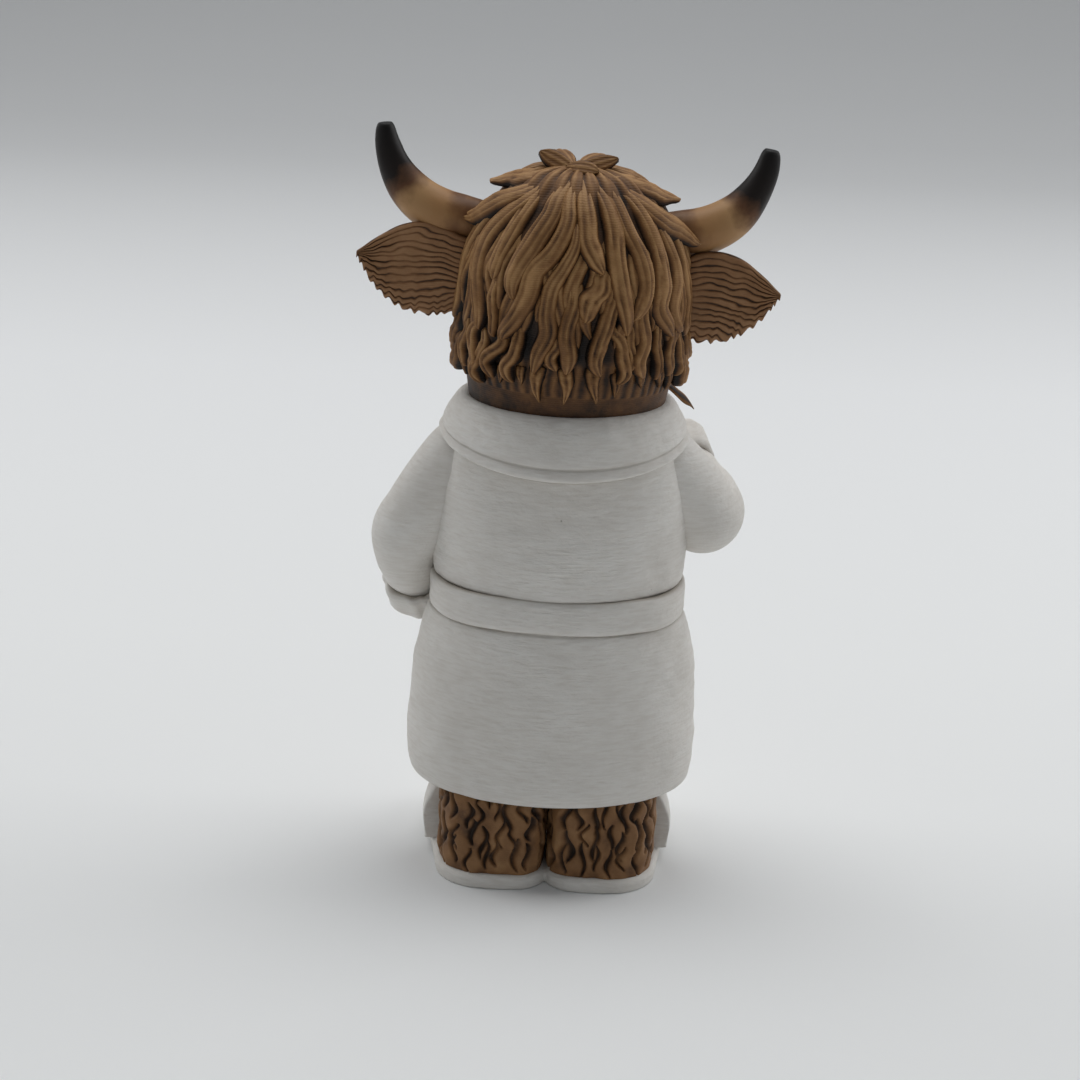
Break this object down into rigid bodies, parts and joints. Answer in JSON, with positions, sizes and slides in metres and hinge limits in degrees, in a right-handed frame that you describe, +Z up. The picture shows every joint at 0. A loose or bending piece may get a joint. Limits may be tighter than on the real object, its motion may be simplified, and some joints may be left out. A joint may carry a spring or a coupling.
{
  "type": "standing cow figurine",
  "caption": "Painted resin ornament of a long-haired horned cow that stands in a bathrobe and slippers, on a flat base under its soles.",
  "frame": {"origin": "on the ground under the slippers, midway between the two slippers and at the middle of the robe from front to back", "axes": "+Z up; the face looks along -Y; +X is the cow's own left"},
  "size_m": [0.0668, 0.0441, 0.1234],
  "materials": {
    "white_paint": "matte white acrylic brushed over cast resin",
    "brown_fur": "matte brown acrylic with a dark wash and lighter dry-brushed ridges",
    "horn_tan": "tan satin acrylic that fades to black at the tips",
    "dark_hoof": "black-brown satin acrylic",
    "muzzle_pink": "matte dusty pink acrylic"
  },
  "bodies": {
    "root": {"slipper_soles": "white_paint", "slipper_left": "white_paint", "slipper_right": "white_paint", "leg_left": "brown_fur", "leg_right": "brown_fur", "robe_body": "white_paint", "robe_front_border": "white_paint", "robe_pocket": "white_paint", "belt": "white_paint", "belt_knot": "white_paint", "belt_end_left": "white_paint", "belt_end_right": "white_paint", "collar": "white_paint", "lapel_left": "white_paint", "lapel_right": "white_paint", "chest_fur": "brown_fur", "sleeve_left": "white_paint", "sleeve_right": "white_paint", "cuff_left": "white_paint", "cuff_right": "white_paint", "hoof_right": "dark_hoof", "head": "brown_fur", "muzzle": "muzzle_pink", "eye_left": "dark_hoof", "eye_right": "dark_hoof", "horn_left": "horn_tan", "horn_right": "horn_tan", "ear_left": "brown_fur", "ear_right": "brown_fur", "hair_crown": "brown_fur", "hair_upper": "brown_fur", "hair_lower": "brown_fur", "hair_nape": "brown_fur", "hair_fringe": "brown_fur", "hair_flick_left": "brown_fur", "hair_flick_right": "brown_fur", "hair_cheek_left": "brown_fur", "hair_cheek_right": "brown_fur"}
  },
  "joints": []
}
